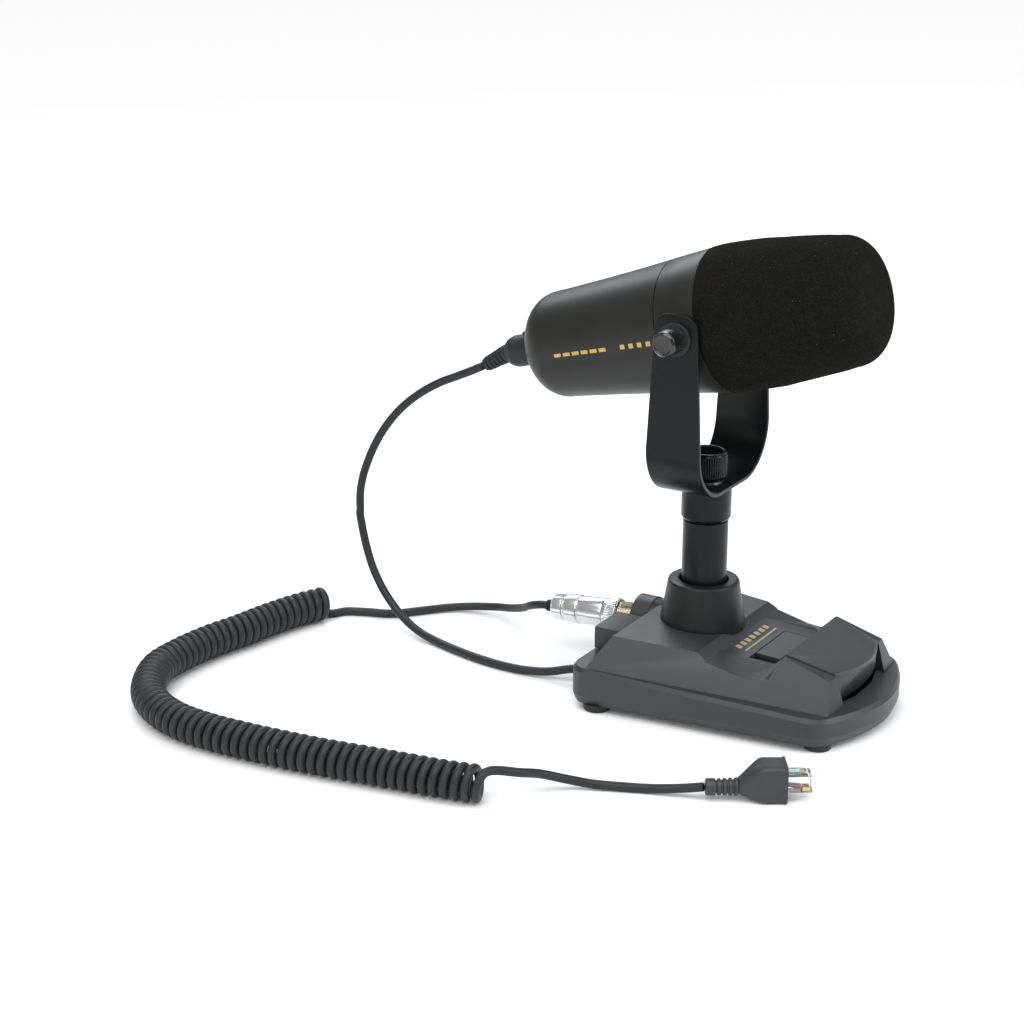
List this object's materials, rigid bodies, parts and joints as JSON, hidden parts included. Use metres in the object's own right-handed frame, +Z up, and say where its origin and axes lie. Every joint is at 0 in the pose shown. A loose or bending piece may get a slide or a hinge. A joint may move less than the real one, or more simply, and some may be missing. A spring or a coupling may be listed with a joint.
{
  "type": "desk microphone",
  "caption": "Desk radio microphone: foam-covered barrel head in a tilting yoke on a post, wedge base with a push-to-talk key, curly lead.",
  "frame": {"origin": "on the table under the middle of the object's box, cords left out of that box", "axes": "+Z up, the microphone and the key face -Y, +X to the right of someone who looks along +Y, over the key, from the speaker's side"},
  "size_m": [0.2986, 0.401, 0.2765],
  "materials": {
    "plastic": "fine moulded grain, charcoal",
    "shell_coat": "satin black",
    "steel_black": "satin black coating on sheet and tube",
    "foam": "open-cell foam, deep black",
    "rubber": "matte black",
    "nickel": "bright nickel",
    "brass": "bare brass thread",
    "zinc": "zinc-plated",
    "cord_pvc": "satin charcoal PVC",
    "clear": "clear moulded plastic",
    "board": "green laminate"
  },
  "bodies": {
    "base": {"base_shell": "plastic", "bottom_plate": "steel_black", "foot_rear_left": "rubber", "foot_rear_right": "rubber", "foot_front_left": "rubber", "foot_front_right": "rubber", "ballast_weight": "zinc", "circuit_board": "board", "key_switch": "rubber", "board_post_left": "brass", "board_post_right": "brass", "hinge_bearing_left": "zinc", "hinge_bearing_right": "zinc", "key_hinge_pin": "nickel", "key_return_spring": "nickel", "pole_boot": "shell_coat", "pole_tube": "steel_black", "pole_flange": "zinc", "pole_collar": "steel_black", "yoke_stud": "nickel", "lead_grommet": "rubber", "socket_thread": "brass", "socket_insert": "rubber", "round_plug_shell": "nickel", "cord_clamp": "nickel", "round_plug_gland": "rubber", "radio_lead": "cord_pvc", "curly_coil": "cord_pvc", "plug_tail": "cord_pvc", "modular_hood": "rubber", "modular_plug": "clear", "mic_lead_lower": "cord_pvc"},
    "yoke": {"friction_washer": "rubber", "yoke_strap": "steel_black", "nut_washer": "nickel", "tilt_washer_left": "rubber", "tilt_washer_right": "rubber"},
    "mic_head": {"rear_shell": "shell_coat", "front_ring": "shell_coat", "foam_windscreen": "foam", "inner_grille": "steel_black", "capsule_mount": "rubber", "microphone_capsule": "nickel", "rear_socket": "rubber", "mic_lead_plug": "rubber", "mic_lead_upper": "cord_pvc"},
    "key": {"ptt_key": "plastic"},
    "lock": {"lock_slide": "plastic"},
    "thumb_nut": {"yoke_thumb_nut": "steel_black"},
    "screw_left": {"tilt_screw_left": "steel_black"},
    "screw_right": {"tilt_screw_right": "steel_black"},
    "coupling": {"coupling_ring": "nickel"}
  },
  "joints": [
    {"name": "yoke_swivel", "type": "hinge", "parent": "base", "child": "yoke", "pos_m": [0, 0.00155, 0.1244], "axis": [0, 0, 1], "range_deg": [-45, 45], "deforming": ["mic_lead_lower"]},
    {"name": "mic_tilt", "type": "hinge", "parent": "yoke", "child": "mic_head", "pos_m": [0, 0.00155, 0.219], "axis": [1, 0, 0], "range_deg": [-30, 45], "deforming": ["mic_lead_upper"]},
    {"name": "key_press", "type": "hinge", "parent": "base", "child": "key", "pos_m": [0, -0.06445, 0.027], "axis": [1, 0, 0], "range_deg": [0, 5.5], "stiffness_Nm_per_rad": 1.2, "springref_deg": -1.72, "deforming": ["key_return_spring"]},
    {"name": "lock_travel", "type": "slide", "parent": "base", "child": "lock", "axis": [-1, 0, 0], "range_m": [0, 0.008]},
    {"name": "thumb_nut_turn", "type": "hinge", "parent": "yoke", "child": "thumb_nut", "pos_m": [0, 0.00155, 0.136], "axis": [0, 0, 1], "range_deg": [-180, 180]},
    {"name": "tilt_screw_left_turn", "type": "hinge", "parent": "yoke", "child": "screw_left", "pos_m": [-0.05, 0.00155, 0.219], "axis": [1, 0, 0], "range_deg": [-180, 180]},
    {"name": "tilt_screw_right_turn", "type": "hinge", "parent": "yoke", "child": "screw_right", "pos_m": [0.05, 0.00155, 0.219], "axis": [1, 0, 0], "range_deg": [-180, 180]},
    {"name": "coupling_ring_turn", "type": "hinge", "parent": "base", "child": "coupling", "pos_m": [0.008, 0.06342, 0.03055], "axis": [0, 0.9965, -0.0837], "range_deg": [-180, 180]}
  ]
}
